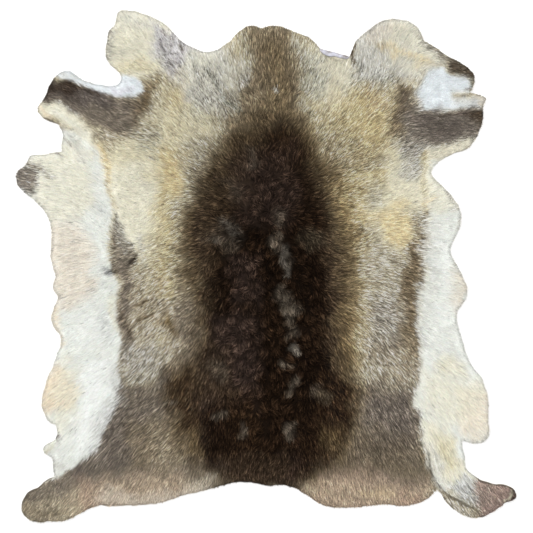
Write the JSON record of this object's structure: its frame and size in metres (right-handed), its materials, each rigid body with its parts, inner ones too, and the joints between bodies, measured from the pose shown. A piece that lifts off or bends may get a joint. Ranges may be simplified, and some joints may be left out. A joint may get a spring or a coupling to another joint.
{
  "type": "reindeer hide",
  "caption": "Whole reindeer hide with the hair on, laid flat hair side up, with a dark saddle, pale belly edges and stub legs.",
  "frame": {"origin": "middle of the hide's outline seen from above, on the surface that its flesh side rests on", "axes": "+Z out of the hair side, +Y towards the neck edge, +X towards the animal's right side as seen from above"},
  "size_m": [1.1768, 1.2056, 0.0328],
  "materials": {
    "coat": "dense straight guard hair, dark umber on the back, ochre and grey-brown on the flanks, white at the belly",
    "skin": "matt tanned skin, flesh side"
  },
  "bodies": {
    "root": {"hide": "coat"}
  },
  "joints": []
}
